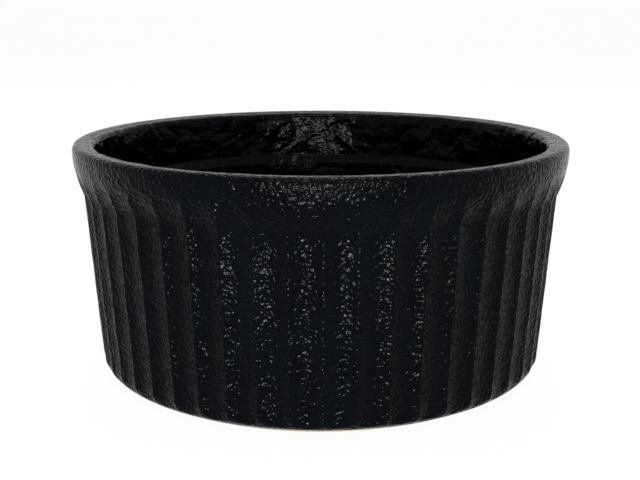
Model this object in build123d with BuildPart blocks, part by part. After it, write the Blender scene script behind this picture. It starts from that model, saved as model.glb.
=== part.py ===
from build123d import *
import os
from math import cos, radians, sin, sqrt

# Fluted ramekin, in millimetres. The dish stands on the XY plane, Z is its axis and the
# origin is the middle of the foot ring's resting face. Radii are measured from Z. Outside
# and inside sizes are those of the finished dish, with its glaze on.

# Overall
height = 42.4
rim_radius = 45.0
glaze_thickness = 0.35

# Collar: curves out of a creased neck and turns upright under the lip's outer shoulder
collar_drop = 8.8
collar_flare = 1.72

# Outer wall: straight, leaning out by its draft from the table line to the neck
wall_draft = 2.68

# Lower edge: the round under the wall, as two flats that meet at this angle of the round
lower_edge_round = 3.2
lower_edge_corner_angle = -50

# Lip: an outer shoulder in two flats up to the crest, then a gentle fall and a bevel inside
shoulder_width = 1.4
shoulder_drop = 1.1
shoulder_corner_width = 0.32
shoulder_corner_drop = 0.32
fall_width = 2.0
lip_fall = 0.35
inner_bevel_width = 0.9
inner_bevel_height = 0.85

# Inside: an upright mouth, a soft ledge at neck height and the tapered bowl under it
ledge_drop = 9.4
ledge_fall = 1.6
ledge_width = 1.1
bowl_draft = 2.1
bowl_floor_bevel = 1.6
base_thickness = 4.4

# Foot: a low ring of bare clay round a shallow recess, whose floor is glazed
foot_width = 3.2
foot_height = 0.65
recess_depth = 1.3

# Flutes: round channels, in flats whose corners lie on an arc, that fade in on the lower
# edge, climb the wall and run out on the collar. The collar's plain part stands a little
# over their upper ends. The first angle puts a ridge near the -Y side, as in the
# photograph.
flute_count = 50
flute_first_angle = -85.8
flute_depth = 0.72
flute_flats = 4
flute_head_drop = 4.0
collar_section_shares = (0.65, 1)
run_out_foot_share = 0.8
run_out_stand = 0.03

# Clay under the glaze: its flutes have fewer flats, and end against a plain flare of the
# collar, which starts inside their floors, a little below the neck
clay_flute_flats = 3
clay_flute_end_share = 0.5
clay_flare_foot_share = -0.1

# Heights and radii that follow from the sizes
neck_height = height - collar_drop
neck_radius = rim_radius - collar_flare
neck_floor_radius = neck_radius - flute_depth
head_height = height - flute_head_drop
shoulder_height = height - shoulder_drop
collar_round = (collar_flare**2 + (shoulder_height - neck_height) ** 2) / (2 * collar_flare)
wall_slope = wall_draft / neck_height
edge_centre_height = foot_height + lower_edge_round
edge_centre_radius = (
    neck_radius - wall_slope * (neck_height - edge_centre_height) - lower_edge_round
)
recess_radius = edge_centre_radius - foot_width
crest_radius = rim_radius - shoulder_width
bevel_radius = crest_radius - fall_width
bevel_top_height = height - lip_fall
mouth_radius = bevel_radius - inner_bevel_width
mouth_height = bevel_top_height - inner_bevel_height
bowl_radius = mouth_radius - ledge_width
bowl_floor_radius = bowl_radius - bowl_draft
ledge_height = height - ledge_drop
ledge_foot_height = ledge_height - ledge_fall
bowl_floor_height = recess_depth + base_thickness
bowl_slope = bowl_draft / (ledge_foot_height - bowl_floor_height)


def wall_radius_at(level):
    """Return the radius of the ridges on the straight wall, or of their line beyond it."""
    return neck_radius - wall_slope * (neck_height - level)


def collar_radius_at(level):
    """Return the radius of the collar at a height between the neck and the shoulder."""
    return rim_radius - collar_round + sqrt(collar_round**2 - (shoulder_height - level) ** 2)


def run_out_point(share, inset):
    """Return a point of the flute floors' line up the collar, at a share of its rise."""
    run_out = collar_radius_at(head_height) - neck_floor_radius
    return (
        neck_floor_radius - inset + share * run_out,
        neck_height + share * (head_height - neck_height),
    )


def point_past(start, end, radius):
    """Return the point of the line through two points of a section at a radius."""
    slope = (end[1] - start[1]) / (end[0] - start[0])
    return (radius, end[1] + slope * (radius - end[0]))


def make_flute_section(level, ridge, floor, flats):
    """Return the fluted wall's section at a height, each of its channels in some flats."""
    half_pitch = 180 / flute_count
    left = PolarLine((0, 0), ridge, -half_pitch) @ 1
    right = PolarLine((0, 0), ridge, half_pitch) @ 1
    arc = ThreePointArc(left, (floor, 0), right)
    channel = Polyline(*[arc @ (step / flats) for step in range(flats + 1)])
    ring = PolarLocations(0, flute_count, start_angle=flute_first_angle)
    edges = [place * edge for place in ring for edge in channel.edges()]
    return Plane.XY.offset(level) * make_face(edges)


def make_bowl_line(inset, lip_line):
    """Return the bowl's section, set in by inset, that opens over a line of lip points."""
    floor_height = bowl_floor_height - inset
    floor_radius = bowl_floor_radius + inset
    bevel = bowl_floor_bevel + (2 - sqrt(2)) * inset
    open_end = point_past(*lip_line[-2:], rim_radius)
    return [
        (0, floor_height),
        (floor_radius - bevel, floor_height),
        (floor_radius + bowl_slope * bevel, floor_height + bevel),
        (bowl_radius + inset, ledge_foot_height),
        (mouth_radius + inset, ledge_height),
        *lip_line,
        open_end,
        (0, open_end[1]),
    ]


def make_dish(inset, flute_sections, edge_line, rim_line, bowl_line):
    """Return the dish without its foot ring, set in by inset from the glazed surface."""
    with BuildPart() as dish:
        # Fluted wall, solid for now
        loft(flute_sections, ruled=True)

        # Lower edge, which trims the feet of the flutes
        with BuildSketch(Plane.XZ):
            Polygon(*edge_line, align=None)
        revolve(axis=Axis.Z, mode=Mode.SUBTRACT)

        # Plain part of the collar, and the lip's outer side
        with BuildSketch(Plane.XZ):
            Polygon(*rim_line, align=None)
        revolve(axis=Axis.Z)

        # Bowl, ledge and mouth, opening over the lip's inner side
        with BuildSketch(Plane.XZ):
            Polygon(*bowl_line, align=None)
        revolve(axis=Axis.Z, mode=Mode.SUBTRACT)

        # Recess under the base
        with BuildSketch(Plane.XY.offset(foot_height + inset)):
            Circle(recess_radius)
        extrude(amount=recess_depth - foot_height, mode=Mode.SUBTRACT)
    return dish.part


# Finished dish
glazed_sections = []
for level in (foot_height, neck_height):
    ridge = wall_radius_at(level)
    floor = ridge - flute_depth
    glazed_sections.append(make_flute_section(level, ridge, floor, flute_flats))
for share in collar_section_shares:
    floor, level = run_out_point(share, 0)
    ridge = collar_radius_at(level)
    glazed_sections.append(make_flute_section(level, ridge, floor, flute_flats))
edge_corner = (
    edge_centre_radius + lower_edge_round * cos(radians(lower_edge_corner_angle)),
    edge_centre_height + lower_edge_round * sin(radians(lower_edge_corner_angle)),
)
edge_top = (edge_centre_radius + lower_edge_round, edge_centre_height)
glazed_edge_line = [
    (edge_centre_radius, foot_height),
    edge_corner,
    point_past(edge_corner, edge_top, rim_radius),
    (rim_radius, foot_height),
]
glazed_rim_line = [
    (0, run_out_point(run_out_foot_share, run_out_stand)[1]),
    run_out_point(run_out_foot_share, run_out_stand),
    (collar_radius_at(head_height) + run_out_stand, head_height),
    (rim_radius, shoulder_height),
    (rim_radius - shoulder_corner_width, height - shoulder_corner_drop),
    (crest_radius, height),
    (0, height),
]
glazed_lip_line = [
    (mouth_radius, mouth_height),
    (bevel_radius, bevel_top_height),
    (crest_radius, height),
]
glazed_dish = make_dish(
    0,
    glazed_sections,
    glazed_edge_line,
    glazed_rim_line,
    make_bowl_line(0, glazed_lip_line),
)

# Clay inside the glaze, plainer: its lower edge is one flat, and its lip two
clay_foot_height = foot_height + glaze_thickness
clay_sections = []
for level in (clay_foot_height, run_out_point(clay_flute_end_share, glaze_thickness)[1]):
    ridge = wall_radius_at(level) - glaze_thickness
    floor = ridge - flute_depth
    clay_sections.append(make_flute_section(level, ridge, floor, clay_flute_flats))
clay_edge_foot = (edge_centre_radius, clay_foot_height)
clay_edge_top = (edge_top[0] - glaze_thickness, edge_centre_height)
clay_edge_line = [
    clay_edge_foot,
    point_past(clay_edge_foot, clay_edge_top, rim_radius),
    (rim_radius, clay_foot_height),
]
clay_crest = (crest_radius, height - glaze_thickness)
clay_shoulder = (rim_radius - glaze_thickness, shoulder_height)
clay_peak = point_past(clay_shoulder, clay_crest, 0)
clay_rim_line = [
    (0, run_out_point(clay_flare_foot_share, glaze_thickness)[1]),
    run_out_point(clay_flare_foot_share, glaze_thickness),
    run_out_point(1, glaze_thickness),
    clay_shoulder,
    clay_peak,
]
clay_lip_line = [
    (mouth_radius + glaze_thickness, mouth_height - glaze_thickness),
    clay_crest,
]
clay_bowl_line = make_bowl_line(glaze_thickness, clay_lip_line)
clay_bowl_line[-1:] = [(rim_radius, clay_peak[1]), clay_peak]
clay_dish = make_dish(
    glaze_thickness, clay_sections, clay_edge_line, clay_rim_line, clay_bowl_line
)

# Clay body: floor, fluted wall, collar and lip in one, on its bare foot ring
with BuildPart() as stoneware_body:
    add(clay_dish)
    with BuildSketch(Plane.XZ):
        with Locations((edge_centre_radius, 0)):
            Rectangle(foot_width, recess_depth + glaze_thickness, align=(Align.MAX, Align.MIN))
    revolve(axis=Axis.Z)
stoneware_body.part.label = "stoneware_body"

# The glaze is all of the finished dish that isn't clay. The foot ring parts it in two.
with BuildPart() as glaze:
    add(glazed_dish)
    add(stoneware_body.part, mode=Mode.SUBTRACT)
glaze_layers = glaze.solids().sort_by(SortBy.VOLUME)

with BuildPart() as glaze_coat:
    add(glaze_layers[-1])
glaze_coat.part.label = "glaze_coat"

with BuildPart() as base_glaze:
    add(glaze_layers[0])
base_glaze.part.label = "base_glaze"

os.makedirs("parts", exist_ok=True)
export_step(stoneware_body.part, "parts/stoneware_body.step")
export_step(glaze_coat.part, "parts/glaze_coat.step")
export_step(base_glaze.part, "parts/base_glaze.step")
for piece in (stoneware_body, glaze_coat, base_glaze):
    print(piece.part.label, len(piece.part.solids()), round(piece.part.volume), piece.part.is_valid)
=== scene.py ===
from math import atan2, cos, inf, pi, radians, sin, sqrt, tan

import bpy
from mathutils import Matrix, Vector


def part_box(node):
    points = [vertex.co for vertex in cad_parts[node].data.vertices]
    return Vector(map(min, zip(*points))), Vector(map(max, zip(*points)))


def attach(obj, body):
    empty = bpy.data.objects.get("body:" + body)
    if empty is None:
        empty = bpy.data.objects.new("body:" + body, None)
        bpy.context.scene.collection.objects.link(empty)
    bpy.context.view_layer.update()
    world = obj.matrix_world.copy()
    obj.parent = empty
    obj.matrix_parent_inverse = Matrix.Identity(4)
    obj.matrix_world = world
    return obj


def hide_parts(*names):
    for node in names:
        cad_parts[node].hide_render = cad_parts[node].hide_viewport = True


bl_info = {
    "name": "Fluted Ramekin",
    "version": (1, 0, 0),
    "blender": (4, 5, 0),
    "location": "View3D > Sidebar > Ramekin",
    "description": "Models a fluted ramekin in black satin glaze, with its studio",
    "category": "Object",
}

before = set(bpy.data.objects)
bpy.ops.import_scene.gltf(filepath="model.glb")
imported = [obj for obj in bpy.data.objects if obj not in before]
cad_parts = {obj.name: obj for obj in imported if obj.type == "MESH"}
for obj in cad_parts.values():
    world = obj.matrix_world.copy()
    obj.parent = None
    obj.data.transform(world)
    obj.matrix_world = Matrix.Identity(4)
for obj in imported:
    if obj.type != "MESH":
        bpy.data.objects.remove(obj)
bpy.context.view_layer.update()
GLAZE_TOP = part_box("glaze_coat")[1].z
MM = 0.001

# Bowl and lip: radii from the dish's axis and heights over the table, on the glaze
BOWL_FLOOR_HEIGHT = 5.7 * MM
BOWL_FLOOR_RADIUS = 37.5 * MM
BOWL_CORNER_ROUND = 4.0 * MM
LEDGE_FOOT_HEIGHT = 31.4 * MM
LEDGE_FOOT_RADIUS = 39.6 * MM
LEDGE_HEIGHT = 33.0 * MM
LEDGE_RADIUS = 40.35 * MM
LEDGE_ROUND = 1.2 * MM
MOUTH_RADIUS = 41.0 * MM
MOUTH_DROP = 0.45 * MM
MOUTH_ROUND = 1.0 * MM
CREST_RADIUS = 43.0 * MM
CREST_ROUND = 5.0 * MM
SHOULDER_ROUND = 1.1 * MM

# Foot ring of bare clay, and the recess inside it
FOOT_HEIGHT = 0.65 * MM
FOOT_RADIUS = 37.6 * MM
FOOT_ROUND = 0.35 * MM
RECESS_DEPTH = 1.3 * MM
RECESS_RADIUS = 34.5 * MM
RECESS_FLOOR_RADIUS = 33.9 * MM
RECESS_ROUND = 0.8 * MM
RECESS_EDGE_ROUND = 0.1 * MM

# Flutes: how far under the ridges the wall is pressed, and how much they thin out as they end
PRESS_REACH = 2.2 * MM
RUN_OUT_FADE = 0.25

# How finely the pieces are divided, with fewer steps where glaze and clay hide each other
COAT_SPACING = 2.4 * MM
HIDDEN_SPACING = 12.0 * MM
FOOT_SPACING = 1.0 * MM
RECESS_SPACING = 1.6 * MM
COLLAR_STEPS = 14
HIDDEN_COLLAR_STEPS = 5
HIDDEN_THINNING = 2
MERGE_DISTANCE = 0.002 * MM

# Places across a flute where the spin stops, as shares of its half width from its middle
FLUTE_SHARES = (1.0, 0.955, 0.90, 0.81, 0.66, 0.46, 0.23, 0.0)
HIDDEN_SHARES = (1.0, 0.88, 0.50, 0.0)

# The glaze's grain changes from the bowl's to the wall's between these two radii. They are
# measured at table height, and grow by a share of the height as the wall leans out.
BOWL_GRAIN_RADIUS = 38.1 * MM
WALL_GRAIN_RADIUS = 38.9 * MM
WALL_LEAN = 0.0875

# Strength of the mirror-like reflection. The glaze's is low, because it mirrors a white studio.
GLAZE_SPECULAR = 0.048
CLAY_SPECULAR = 0.25

# Sheet of paper that runs up behind the dish: its sizes in metres
PAPER_SIZE = 3.0
PAPER_FAR_SIDE = 1.0
BACKDROP_HEIGHT = 1.6
BACKDROP_ROUND = 0.5
BACKDROP_SEGMENTS = 12

# Paper's finish, and the glow that makes it white where it is seen directly
PAPER_COLOUR = (0.80, 0.80, 0.80, 1.0)
PAPER_ROUGHNESS = 0.9
WHITE = (1.0, 1.0, 1.0, 1.0)
GLOW_STRENGTH = 1.05
GLOW_SHARE = 0.9

# Lamps: name, place, width and height in metres, and the setting that holds the power
LAMPS = (
    ("key_lamp", (-0.015, -0.185, 0.012), (0.030, 0.018), "key_power"),
    ("bowl_lamp", (0.08, -0.85, 0.134), (0.45, 0.075), "bowl_power"),
    ("back_lamp", (0.015, 0.185, 0.012), (0.030, 0.018), "key_power"),
    ("top_lamp", (0.0, -0.5, 0.9), (0.32, 0.32), "top_power"),
    ("ceiling_lamp", (0.0, 0.42, 0.9), (0.40, 0.40), "top_power"),
)
LAMP_TARGET = (0.0, 0.0, 0.02)

# Camera: its place and the nearest distance it sees in metres, its sensor in millimetres,
# and the picture's width and shift to the side in pixels
CAMERA_PLACE = (0.0, -0.1952, 0.0684)
SENSOR_WIDTH = 36.0
NEAREST_SEEN = 0.01
PICTURE_WIDTH = 640
SIDE_SHIFT = -0.75


# Sizes and colours that a user would change

class RamekinSizes(bpy.types.PropertyGroup):
    """Sizes of the dish, in metres, measured on its glaze."""

    height: bpy.props.FloatProperty(
        name="Height", description="From the table to the crest of the lip",
        default=GLAZE_TOP, unit="LENGTH")
    rim_radius: bpy.props.FloatProperty(
        name="Rim Radius", description="Outer radius of the band under the lip",
        default=45.0 * MM, unit="LENGTH")
    glaze: bpy.props.FloatProperty(
        name="Glaze Thickness", description="Thickness of the glaze over the clay",
        default=0.35 * MM, unit="LENGTH")
    neck_radius: bpy.props.FloatProperty(
        name="Neck Radius", description="Outer radius at the crease under the collar",
        default=43.28 * MM, unit="LENGTH")
    collar_drop: bpy.props.FloatProperty(
        name="Collar Drop", description="From the lip down to the crease under the collar",
        default=8.8 * MM, unit="LENGTH")
    band_drop: bpy.props.FloatProperty(
        name="Band Drop", description="From the lip down to where the collar starts to curve in",
        default=1.2 * MM, unit="LENGTH")
    wall_draft: bpy.props.FloatProperty(
        name="Wall Draft", description="How far the outer wall leans out from table to neck",
        default=2.68 * MM, unit="LENGTH")
    lower_edge_round: bpy.props.FloatProperty(
        name="Lower Edge Round", description="Radius of the edge under the wall",
        default=3.2 * MM, unit="LENGTH")
    flute_count: bpy.props.IntProperty(
        name="Flutes", description="Number of flutes round the wall", default=50, min=3)
    flute_depth: bpy.props.FloatProperty(
        name="Flute Depth", description="Depth of a flute under its ridges",
        default=0.72 * MM, unit="LENGTH")
    flute_head_drop: bpy.props.FloatProperty(
        name="Flute Head Drop", description="From the lip down to where the flutes run out",
        default=4.0 * MM, unit="LENGTH")
    flute_turn: bpy.props.FloatProperty(
        name="Flute Turn", description="Angle from +X to the middle of the first flute",
        default=radians(-85.8), subtype="ANGLE")
    ridge_softness: bpy.props.FloatProperty(
        name="Ridge Softness", description="Share of a flute's half width that its ridge rounds",
        default=0.14, subtype="FACTOR")


class RamekinColours(bpy.types.PropertyGroup):
    """Colours and finish of the dish."""

    glaze: bpy.props.FloatVectorProperty(
        name="Glaze", description="Body colour of the black glaze",
        default=(0.0001, 0.0006, 0.0013), subtype="COLOR")
    clay: bpy.props.FloatVectorProperty(
        name="Clay", description="Colour of the bare stoneware on the foot",
        default=(0.55, 0.46, 0.30), subtype="COLOR")
    glaze_roughness: bpy.props.FloatProperty(
        name="Glaze Roughness", description="Roughness of the satin glaze",
        default=0.15, subtype="FACTOR")


class StudioSettings(bpy.types.PropertyGroup):
    """Lamps and camera of the studio."""

    key_power: bpy.props.FloatProperty(
        name="Low Lamps",
        description="Power of each of the low lamps in front of and behind the dish, in watts",
        default=0.19)
    bowl_power: bpy.props.FloatProperty(
        name="Bowl Lamp", description="Power of the lamp that shines over the rim, in watts",
        default=3.4)
    top_power: bpy.props.FloatProperty(
        name="Top Lamps", description="Power of each of the two lamps overhead, in watts",
        default=3.0)
    room_light: bpy.props.FloatProperty(
        name="Room Light", description="Strength of the even light of the room",
        default=0.25)
    lens: bpy.props.FloatProperty(
        name="Lens", description="Focal length of the camera, in millimetres", default=59.61)
    pitch: bpy.props.FloatProperty(
        name="Pitch", description="How far the camera looks down",
        default=radians(13.17), subtype="ANGLE")


# Shader expressions

class Signal:
    """A socket of a shader's node tree that Python's own operators can work on."""

    def __init__(self, tree, socket=None):
        self.tree = tree
        self.socket = socket

    def node(self, kind, settings, inputs, output=0):
        """Add a node with its settings and its values or links, and return one output."""
        node = self.tree.nodes.new(kind)
        for name, value in settings.items():
            setattr(node, name, value)
        for name, value in inputs.items():
            if isinstance(value, Signal):
                self.tree.links.new(value.socket, node.inputs[name])
            else:
                node.inputs[name].default_value = value
        return Signal(self.tree, node.outputs[output])

    def maths(self, operation, first, second):
        """Return the result of one of the Math node's operations."""
        return self.node("ShaderNodeMath", {"operation": operation}, {0: first, 1: second})

    def blend(self, first, second):
        """Return a colour that goes from the first to the second as this signal rises."""
        return self.node(
            "ShaderNodeMix", {"data_type": "RGBA"}, {0: self, 6: first, 7: second}, 2)

    def steps(self, low, high):
        """Return this signal stretched smoothly from 0 at low to 1 at high."""
        return self.node(
            "ShaderNodeMapRange", {"interpolation_type": "SMOOTHSTEP"},
            {"Value": self, "From Min": low, "From Max": high})

    def __add__(self, other):
        return self.maths("ADD", self, other)

    def __radd__(self, other):
        return self.maths("ADD", other, self)

    def __sub__(self, other):
        return self.maths("SUBTRACT", self, other)

    def __rsub__(self, other):
        return self.maths("SUBTRACT", other, self)

    def __mul__(self, other):
        return self.maths("MULTIPLY", self, other)

    def __rmul__(self, other):
        return self.maths("MULTIPLY", other, self)


def noise(start, place, size, detail=2.0, roughness=0.5, distortion=0.0):
    """Return a noise from 0 to 1 whose grain has a size in metres."""
    return start.node(
        "ShaderNodeTexNoise", {},
        {"Vector": place, "Scale": 1 / size, "Detail": detail, "Roughness": roughness,
         "Distortion": distortion})


def shade(colour, share):
    """Return a colour made darker or lighter by a share, with full opacity."""
    return (*[share * part for part in colour], 1.0)


def new_material(name):
    """Return a new material, its tree's start, its Principled node and the object's place."""
    material = bpy.data.materials.new(name)
    material.use_nodes = True
    tree = material.node_tree
    start = Signal(tree)
    place = start.node("ShaderNodeTexCoord", {}, {}, "Object")
    return material, start, tree.nodes["Principled BSDF"], place


def link(signal, node, name):
    """Link a signal to an input of a node."""
    signal.tree.links.new(signal.socket, node.inputs[name])


def satin_glaze(name, colours):
    """Return the black satin glaze: grainy on the wall, wavy in the bowl, uneven in its gloss."""
    material, start, shader, place = new_material(name)
    flat = start.node("ShaderNodeMapping", {}, {"Vector": place, "Scale": (1.0, 1.0, 0.0)})
    radius = start.node("ShaderNodeVectorMath", {"operation": "LENGTH"}, {0: flat}, "Value")
    level = start.node("ShaderNodeSeparateXYZ", {}, {0: place}, 2)
    outside = (radius - level * WALL_LEAN).steps(BOWL_GRAIN_RADIUS, WALL_GRAIN_RADIUS)
    grain = noise(start, place, 0.56 * MM, detail=0.0, distortion=0.35)
    pebble = noise(start, place, 1.9 * MM, detail=1.0)
    waves = noise(start, place, 4.2 * MM, detail=1.0, roughness=0.4, distortion=0.6)
    patches = noise(start, place, 9.0 * MM)
    grain_depth = outside * 0.17 + 0.06
    wave_depth = 0.65 - outside * 0.59
    relief = grain * grain_depth + pebble * 0.16 + waves * wave_depth
    bump = start.node("ShaderNodeBump", {}, {"Height": relief, "Distance": MM, "Strength": 1.0})
    body = patches.steps(0.35, 0.75).blend(shade(colours.glaze, 1.0), shade(colours.glaze, 1.5))
    link(body, shader, "Base Color")
    link(patches * 0.08 + grain * 0.04 + (colours.glaze_roughness - 0.06), shader, "Roughness")
    link(bump, shader, "Normal")
    shader.inputs["Specular IOR Level"].default_value = GLAZE_SPECULAR
    return material


def bare_stoneware(name, colours):
    """Return the dry, sandy clay of the foot ring, with a few specks of iron."""
    material, start, shader, place = new_material(name)
    sand = noise(start, place, 0.35 * MM, detail=3.0, roughness=0.7)
    patches = noise(start, place, 5.0 * MM)
    specks = start.node(
        "ShaderNodeTexVoronoi", {}, {"Vector": place, "Scale": 1 / (0.8 * MM)}, "Distance")
    pale = shade(colours.clay, 1.0)
    dark = shade(colours.clay, 0.72)
    iron = shade(colours.clay, 0.25)
    base = (patches * 0.6 + sand * 0.4).steps(0.3, 0.7).blend(dark, pale)
    speckled = (1 - specks.steps(0.02, 0.12)).blend(base, iron)
    bump = start.node(
        "ShaderNodeBump", {}, {"Height": sand, "Distance": 0.05 * MM, "Strength": 0.8})
    link(speckled, shader, "Base Color")
    link(sand * 0.15 + 0.78, shader, "Roughness")
    link(bump, shader, "Normal")
    shader.inputs["Specular IOR Level"].default_value = CLAY_SPECULAR
    return material


# Outlines of half the dish, as points of radius and height

def corner(radius, height, rounding=0.0, steps=0):
    """Return a corner of an outline, with the radius of its round and the steps in it."""
    return radius, height, rounding, steps


def rounded_outline(corners, spacing, thinning=1):
    """Return an outline's points: runs divided by a spacing, rounds in their steps or fewer."""
    points = [Vector(corners[0][:2])]
    for before, here, after in zip(corners, corners[1:], corners[2:]):
        radius, height, rounding, full_steps = here
        place = Vector((radius, height))
        into = (place - Vector(before[:2])).normalized()
        out = (Vector(after[:2]) - place).normalized()
        turn = into.angle_signed(out)
        begin = place - into * abs(rounding * tan(turn / 2))
        side = Vector((into.y, -into.x)) * (1 if turn > 0 else -1)
        centre = begin + side * rounding
        steps = full_steps // thinning
        arm = begin - centre
        for step in range(steps + 1):
            angle = -turn * step / steps if steps else 0.0
            turned = Vector((
                arm.x * cos(angle) - arm.y * sin(angle), arm.x * sin(angle) + arm.y * cos(angle)))
            points.append(centre + turned)
    points.append(Vector(corners[-1][:2]))
    divided = [points[0]]
    for point in points[1:]:
        last = divided[-1]
        parts = max(1, round((point - last).length / spacing))
        for part in range(1, parts + 1):
            divided.append(last.lerp(point, part / parts))
    return divided


def collar_curve(sizes, steps):
    """Return the radii and heights of the collar, from the band down to the neck."""
    drop = sizes.collar_drop - sizes.band_drop
    flare = sizes.rim_radius - sizes.neck_radius
    curve = (flare**2 + drop**2) / (2 * flare)
    band = sizes.height - sizes.band_drop
    points = []
    for step in range(steps + 1):
        fall = drop * step / steps
        points.append((sizes.rim_radius - curve + sqrt(curve**2 - fall**2), band - fall))
    return points


def wall_radius(sizes, level):
    """Return the radius of the ridges on the straight wall."""
    neck = sizes.height - sizes.collar_drop
    return sizes.neck_radius - sizes.wall_draft * (neck - level) / neck


def glaze_corners(sizes, inset, collar_steps):
    """Return the glaze's corners from the middle of the bowl to the foot, set in by inset."""
    foot = FOOT_HEIGHT + inset
    edge_radius = wall_radius(sizes, FOOT_HEIGHT + sizes.lower_edge_round) - inset
    bowl_floor = BOWL_FLOOR_HEIGHT - inset
    top = sizes.height - inset
    return [
        corner(0.0, bowl_floor),
        corner(BOWL_FLOOR_RADIUS + inset, bowl_floor, BOWL_CORNER_ROUND + inset, steps=7),
        corner(LEDGE_FOOT_RADIUS + inset, LEDGE_FOOT_HEIGHT, LEDGE_ROUND, steps=3),
        corner(LEDGE_RADIUS + inset, LEDGE_HEIGHT, LEDGE_ROUND, steps=3),
        corner(MOUTH_RADIUS + inset, top - MOUTH_DROP, MOUTH_ROUND - inset, steps=5),
        corner(CREST_RADIUS, top, CREST_ROUND, steps=3),
        corner(sizes.rim_radius - inset, top, SHOULDER_ROUND - inset, steps=6),
        *[corner(radius - inset, height) for radius, height in collar_curve(sizes, collar_steps)],
        corner(edge_radius, foot, sizes.lower_edge_round - inset, steps=10),
        corner(FOOT_RADIUS, foot),
    ]


def hidden_outline(sizes):
    """Return the outline of the face where the coat and the clay meet, plainly divided."""
    corners = glaze_corners(sizes, sizes.glaze, HIDDEN_COLLAR_STEPS)
    return rounded_outline(corners, HIDDEN_SPACING, HIDDEN_THINNING)


def recess_corners(sizes):
    """Return the clay's corners in the recess, from the foot ring to the middle."""
    return [
        corner(RECESS_RADIUS, FOOT_HEIGHT + sizes.glaze),
        corner(RECESS_FLOOR_RADIUS, RECESS_DEPTH + sizes.glaze),
        corner(0.0, RECESS_DEPTH + sizes.glaze),
    ]


def ridge_to_floor(share, softness):
    """Return how deep a flute is, from 0 on the ridge to 1, at a share of its half width."""
    meets = 1 - softness
    if share < meets:
        depth = 1 - share**2
    else:
        depth = softness + meets / softness * (1 - share) ** 2
    return (depth - softness) / (1 - softness)


def flute_depth_at(sizes, level):
    """Return the depth of the flutes at a height, which fades out at both ends."""
    neck = sizes.height - sizes.collar_drop
    head = sizes.height - sizes.flute_head_drop
    edge = FOOT_HEIGHT + sizes.lower_edge_round
    if level < edge:
        share = min(max((edge - level) / sizes.lower_edge_round, 0.0), 1.0)
        fall = sizes.lower_edge_round * (1 - sqrt(1 - share**2))
        return max(sizes.flute_depth - fall, 0.0)
    if level < neck:
        return sizes.flute_depth
    share = min((level - neck) / (head - neck), 1.0)
    return sizes.flute_depth * (1 - share**2) * (1 - RUN_OUT_FADE * share)


# Modelling steps

def deselect():
    """Leave edit mode and deselect everything."""
    if bpy.context.object and bpy.context.object.mode != "OBJECT":
        bpy.ops.object.mode_set(mode="OBJECT")
    bpy.ops.object.select_all(action="DESELECT")


def distance_from_axis(place):
    """Return how far a place is from the dish's axis."""
    return sqrt(place.x**2 + place.y**2)


def draw_outline(name, points, angle):
    """Draw an outline in the upright plane at an angle, by extruding one vertex."""
    deselect()
    first = points[0]
    bpy.ops.mesh.primitive_plane_add(
        size=MM, location=(first.x * cos(angle), first.x * sin(angle), first.y))
    piece = bpy.context.object
    piece.name = piece.data.name = name
    bpy.ops.object.transform_apply(location=True, rotation=True, scale=True)
    bpy.ops.object.mode_set(mode="EDIT")
    bpy.ops.mesh.merge(type="CENTER")
    for before, after in zip(points, points[1:]):
        step = after - before
        bpy.ops.mesh.extrude_region_move(TRANSFORM_OT_translate={
            "value": (step.x * cos(angle), step.x * sin(angle), step.y)})
    return piece


def spin_flute(shares, half_angle):
    """Spin the outline through one flute, stopping at the shares on both sides of its middle."""
    places = [-share for share in shares] + list(reversed(shares))[1:]
    bpy.ops.mesh.select_all(action="SELECT")
    for before, after in zip(places, places[1:]):
        bpy.ops.mesh.spin(
            steps=1, angle=(before - after) * half_angle, center=(0, 0, 0), axis=(0, 0, 1))


def apply_modifier(piece, kind, settings):
    """Add a modifier with its settings and apply it."""
    modifier = piece.modifiers.new(kind.title(), kind)
    for name, value in settings.items():
        setattr(modifier, name, value)
    bpy.ops.object.modifier_apply(modifier=modifier.name)


def paint_group(piece, name, weight_at):
    """Fill a vertex group with weights worked out from each vertex's place."""
    group = piece.vertex_groups.new(name=name)
    for vertex in piece.data.vertices:
        weight = weight_at(vertex.co)
        if weight > 0:
            group.add([vertex.index], weight, "REPLACE")
    return group.name


def press_flute(piece, sizes):
    """Press the flute into the outer wall of the spun slice."""
    half_angle = pi / sizes.flute_count

    def weight(place):
        if distance_from_axis(place) < wall_radius(sizes, place.z) - PRESS_REACH:
            return 0.0
        share = min(abs(atan2(place.y, place.x)) / half_angle, 1.0)
        depth = flute_depth_at(sizes, place.z) / sizes.flute_depth
        return depth * ridge_to_floor(share, sizes.ridge_softness)

    group = paint_group(piece, "flute", weight)
    apply_modifier(piece, "DISPLACE", {
        "direction": "X", "strength": -sizes.flute_depth, "mid_level": 0.0,
        "vertex_group": group})


def repeat_flute(piece, count, turn):
    """Repeat the slice round the axis and close the ring."""
    bpy.ops.object.empty_add(location=(0, 0, 0), rotation=(0, 0, 2 * pi / count))
    pivot = bpy.context.object
    deselect()
    bpy.context.view_layer.objects.active = piece
    piece.select_set(True)
    apply_modifier(piece, "ARRAY", {
        "count": count, "use_relative_offset": False, "use_object_offset": True,
        "offset_object": pivot})
    bpy.data.objects.remove(pivot)
    piece.rotation_euler.z = turn
    bpy.ops.object.transform_apply(location=True, rotation=True, scale=True)
    bpy.ops.object.mode_set(mode="EDIT")
    bpy.ops.mesh.select_all(action="SELECT")
    bpy.ops.mesh.remove_doubles(threshold=MERGE_DISTANCE)
    bpy.ops.mesh.normals_make_consistent(inside=False)
    bpy.ops.object.mode_set(mode="OBJECT")


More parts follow.
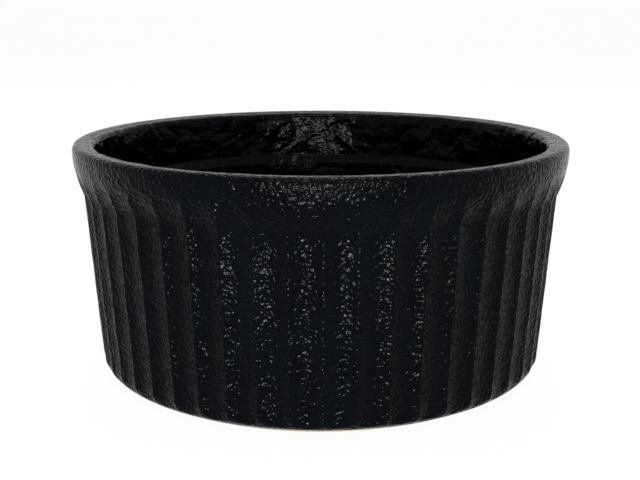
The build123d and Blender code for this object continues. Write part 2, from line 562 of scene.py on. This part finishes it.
def make_round(name, outline, shares, sizes, fluted=True):
    """Model a round piece from its outline, as one slice that is repeated round the axis."""
    half_angle = pi / sizes.flute_count
    piece = draw_outline(name, outline, -half_angle)
    spin_flute(shares, half_angle)
    bpy.ops.object.mode_set(mode="OBJECT")
    if fluted:
        press_flute(piece, sizes)
    repeat_flute(piece, sizes.flute_count, sizes.flute_turn)
    return piece


def within(inner=-inf, outer=inf, low=-inf, high=inf):
    """Return a weight that is 1 between two radii and two heights, and 0 elsewhere."""
    def weight(place):
        inside = inner < distance_from_axis(place) < outer and low < place.z < high
        return 1.0 if inside else 0.0

    return weight


# Soft lumps of the coat: name, size, depth, direction, middle level and where they are
LUMPS = (
    ("wall_lumps", 6.0 * MM, 0.10 * MM, "NORMAL", 1.0, within(inner=38.0 * MM, high=42.0 * MM)),
    ("bowl_lumps", 4.0 * MM, 0.22 * MM, "NORMAL", 0.5, within(outer=42.5 * MM, low=5.5 * MM)),
    ("glaze_line", 3.5 * MM, 0.30 * MM, "Z", 0.5, within(outer=38.6 * MM, high=1.3 * MM)),
)


def make_uneven(piece, name, size, depth, direction, middle, weight_at):
    """Give a part of the surface the soft lumps of a poured glaze."""
    clouds = bpy.data.textures.new(name, "CLOUDS")
    clouds.noise_scale = size
    clouds.noise_depth = 2
    group = paint_group(piece, name, weight_at)
    apply_modifier(piece, "DISPLACE", {
        "texture": clouds, "texture_coords": "LOCAL", "direction": direction,
        "strength": depth, "mid_level": middle, "vertex_group": group})
    bpy.data.textures.remove(clouds)


def finish_piece(piece, material, node):
    """Smooth a piece, give it its material and put it in its node's place."""
    deselect()
    bpy.context.view_layer.objects.active = piece
    piece.select_set(True)
    bpy.ops.object.shade_smooth()
    piece.data.materials.clear()
    piece.data.materials.append(material)
    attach(piece, "root")
    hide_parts(node)


class GlazeCoat(bpy.types.Operator):
    """Model the black glaze, inside and out, with its flutes"""

    bl_idname = "ramekin.glaze_coat"
    bl_label = "Glaze Coat"

    def execute(self, context):
        sizes = context.scene.ramekin_sizes
        outside = rounded_outline(glaze_corners(sizes, 0.0, COLLAR_STEPS), COAT_SPACING)
        outline = outside + hidden_outline(sizes)[::-1]
        piece = make_round("glaze_coat_skin", outline, FLUTE_SHARES, sizes)
        for lumps in LUMPS:
            make_uneven(piece, *lumps)
        material = satin_glaze("Satin Glaze", context.scene.ramekin_colours)
        finish_piece(piece, material, "glaze_coat")
        return {"FINISHED"}


class ClayBody(bpy.types.Operator):
    """Model the stoneware under the glaze, with its bare foot ring"""

    bl_idname = "ramekin.clay_body"
    bl_label = "Clay Body"

    def execute(self, context):
        sizes = context.scene.ramekin_sizes
        foot = rounded_outline([
            corner(FOOT_RADIUS, FOOT_HEIGHT + sizes.glaze),
            corner(FOOT_RADIUS, 0.0, FOOT_ROUND, steps=4),
            corner(RECESS_RADIUS, 0.0, FOOT_ROUND, steps=4),
            *recess_corners(sizes),
        ], FOOT_SPACING)
        outline = hidden_outline(sizes) + foot[1:]
        piece = make_round("stoneware_foot", outline, HIDDEN_SHARES, sizes)
        material = bare_stoneware("Bare Stoneware", context.scene.ramekin_colours)
        finish_piece(piece, material, "stoneware_body")
        return {"FINISHED"}


class BaseGlaze(bpy.types.Operator):
    """Model the glaze in the recess under the base"""

    bl_idname = "ramekin.base_glaze"
    bl_label = "Base Glaze"

    def execute(self, context):
        sizes = context.scene.ramekin_sizes
        outline = rounded_outline([
            *recess_corners(sizes)[::-1],
            corner(RECESS_RADIUS, FOOT_HEIGHT, RECESS_EDGE_ROUND, steps=2),
            corner(RECESS_FLOOR_RADIUS, RECESS_DEPTH, RECESS_ROUND, steps=3),
            corner(0.0, RECESS_DEPTH),
        ], RECESS_SPACING)
        piece = make_round("base_glaze_skin", outline, HIDDEN_SHARES, sizes, fluted=False)
        material = satin_glaze("Satin Base Glaze", context.scene.ramekin_colours)
        finish_piece(piece, material, "base_glaze")
        return {"FINISHED"}


# Studio

def seen_directly(start):
    """Return 1 for the rays that show a background, straight, mirrored or through glass."""
    camera = start.node("ShaderNodeLightPath", {}, {}, "Is Camera Ray")
    glossy = start.node("ShaderNodeLightPath", {}, {}, "Is Glossy Ray")
    through = start.node("ShaderNodeLightPath", {}, {}, "Is Transmission Ray")
    return start.maths("MINIMUM", camera + glossy + through, 1.0)


def white_paper():
    """Return the paper of the floor and backdrop, which keeps a little of the dish's shadow."""
    paper, start, shader, _ = new_material("White Paper")
    shader.inputs["Base Color"].default_value = PAPER_COLOUR
    shader.inputs["Roughness"].default_value = PAPER_ROUGHNESS
    shader.inputs["Specular IOR Level"].default_value = 0.0
    lit = Signal(paper.node_tree, shader.outputs[0])
    glow = start.node("ShaderNodeEmission", {}, {"Color": WHITE, "Strength": GLOW_STRENGTH})
    share = seen_directly(start) * GLOW_SHARE
    mixed = start.node("ShaderNodeMixShader", {}, {0: share, 1: lit, 2: glow})
    link(mixed, paper.node_tree.nodes["Material Output"], "Surface")
    return paper


def select_edges(piece, is_chosen):
    """Select the edges whose ends are both at a chosen place, and go to edit mode."""
    for edge in piece.data.edges:
        edge.select = all(is_chosen(piece.data.vertices[end].co) for end in edge.vertices)
    bpy.ops.object.mode_set(mode="EDIT")


def is_far(place):
    """Return whether a place of the paper is on its far side."""
    return place.y > PAPER_FAR_SIDE


def is_far_fold(place):
    """Return whether a place of the paper is where the floor meets the backdrop."""
    return is_far(place) and abs(place.z) < MM


def make_floor():
    """Return the sheet of paper: a floor with a backdrop that curves up from it."""
    deselect()
    bpy.ops.mesh.primitive_plane_add(size=PAPER_SIZE, location=(0, 0, 0))
    floor = bpy.context.object
    floor.name = "studio_floor"
    bpy.ops.object.mode_set(mode="EDIT")
    bpy.ops.mesh.select_mode(type="EDGE")
    bpy.ops.mesh.select_all(action="DESELECT")
    bpy.ops.object.mode_set(mode="OBJECT")
    select_edges(floor, is_far)
    bpy.ops.mesh.extrude_region_move(TRANSFORM_OT_translate={"value": (0, 0, BACKDROP_HEIGHT)})
    bpy.ops.object.mode_set(mode="OBJECT")
    select_edges(floor, is_far_fold)
    bpy.ops.mesh.bevel(offset=BACKDROP_ROUND, segments=BACKDROP_SEGMENTS)
    bpy.ops.mesh.select_all(action="SELECT")
    bpy.ops.mesh.normals_make_consistent(inside=True)
    bpy.ops.object.mode_set(mode="OBJECT")
    bpy.ops.object.shade_smooth()
    floor.data.materials.append(white_paper())
    return floor


def light_room(scene, room):
    """Light the scene evenly from all sides, and show white to the rays that see the room."""
    world = bpy.data.worlds.new("Studio Room")
    scene.world = world
    world.use_nodes = True
    background = world.node_tree.nodes["Background"]
    strength = seen_directly(Signal(world.node_tree)) * (1.0 - room) + room
    link(strength, background, "Strength")
    background.inputs["Color"].default_value = WHITE


def add_lamp(name, place, size, power):
    """Add a flat lamp of a width and height that shines at the middle of the dish."""
    bpy.ops.object.light_add(type="AREA", location=place)
    lamp = bpy.context.object
    lamp.name = name
    lamp.data.shape = "RECTANGLE"
    lamp.data.size, lamp.data.size_y = size
    lamp.data.energy = power
    towards = Vector(LAMP_TARGET) - lamp.location
    lamp.rotation_euler = towards.to_track_quat("-Z", "Y").to_euler()


def add_camera(scene, studio):
    """Put the camera where it sees the dish as the photograph does."""
    bpy.ops.object.camera_add(location=CAMERA_PLACE)
    camera = bpy.context.object
    camera.rotation_euler = (pi / 2 - studio.pitch, 0.0, 0.0)
    camera.data.lens = studio.lens
    camera.data.sensor_width = SENSOR_WIDTH
    camera.data.shift_x = SIDE_SHIFT / PICTURE_WIDTH
    camera.data.clip_start = NEAREST_SEEN
    scene.camera = camera


class Studio(bpy.types.Operator):
    """Set up the white floor and backdrop, the lamps and the camera"""

    bl_idname = "ramekin.studio"
    bl_label = "Studio"

    def execute(self, context):
        studio = context.scene.ramekin_studio
        make_floor()
        light_room(context.scene, studio.room_light)
        for name, place, size, setting in LAMPS:
            add_lamp(name, place, size, getattr(studio, setting))
        add_camera(context.scene, studio)
        context.scene.view_settings.view_transform = "Standard"
        return {"FINISHED"}


class RamekinPanel(bpy.types.Panel):
    """Sizes, colours and steps of the ramekin"""

    bl_idname = "VIEW3D_PT_ramekin"
    bl_label = "Ramekin"
    bl_space_type = "VIEW_3D"
    bl_region_type = "UI"
    bl_category = "Ramekin"

    def draw(self, context):
        layout = self.layout
        for settings in ("ramekin_sizes", "ramekin_colours", "ramekin_studio"):
            group = getattr(context.scene, settings)
            box = layout.box()
            for name in group.__annotations__:
                box.prop(group, name)
        for operator in OPERATORS:
            layout.operator(operator.bl_idname)


OPERATORS = (GlazeCoat, ClayBody, BaseGlaze, Studio)
CLASSES = (RamekinSizes, RamekinColours, StudioSettings, *OPERATORS, RamekinPanel)


def register():
    for cls in CLASSES:
        bpy.utils.register_class(cls)
    bpy.types.Scene.ramekin_sizes = bpy.props.PointerProperty(type=RamekinSizes)
    bpy.types.Scene.ramekin_colours = bpy.props.PointerProperty(type=RamekinColours)
    bpy.types.Scene.ramekin_studio = bpy.props.PointerProperty(type=StudioSettings)


def unregister():
    del bpy.types.Scene.ramekin_studio
    del bpy.types.Scene.ramekin_colours
    del bpy.types.Scene.ramekin_sizes
    for cls in reversed(CLASSES):
        bpy.utils.unregister_class(cls)


def main():
    register()
    bpy.ops.ramekin.glaze_coat()
    bpy.ops.ramekin.clay_body()
    bpy.ops.ramekin.base_glaze()
    bpy.ops.ramekin.studio()


if __name__ == "__main__":
    main()
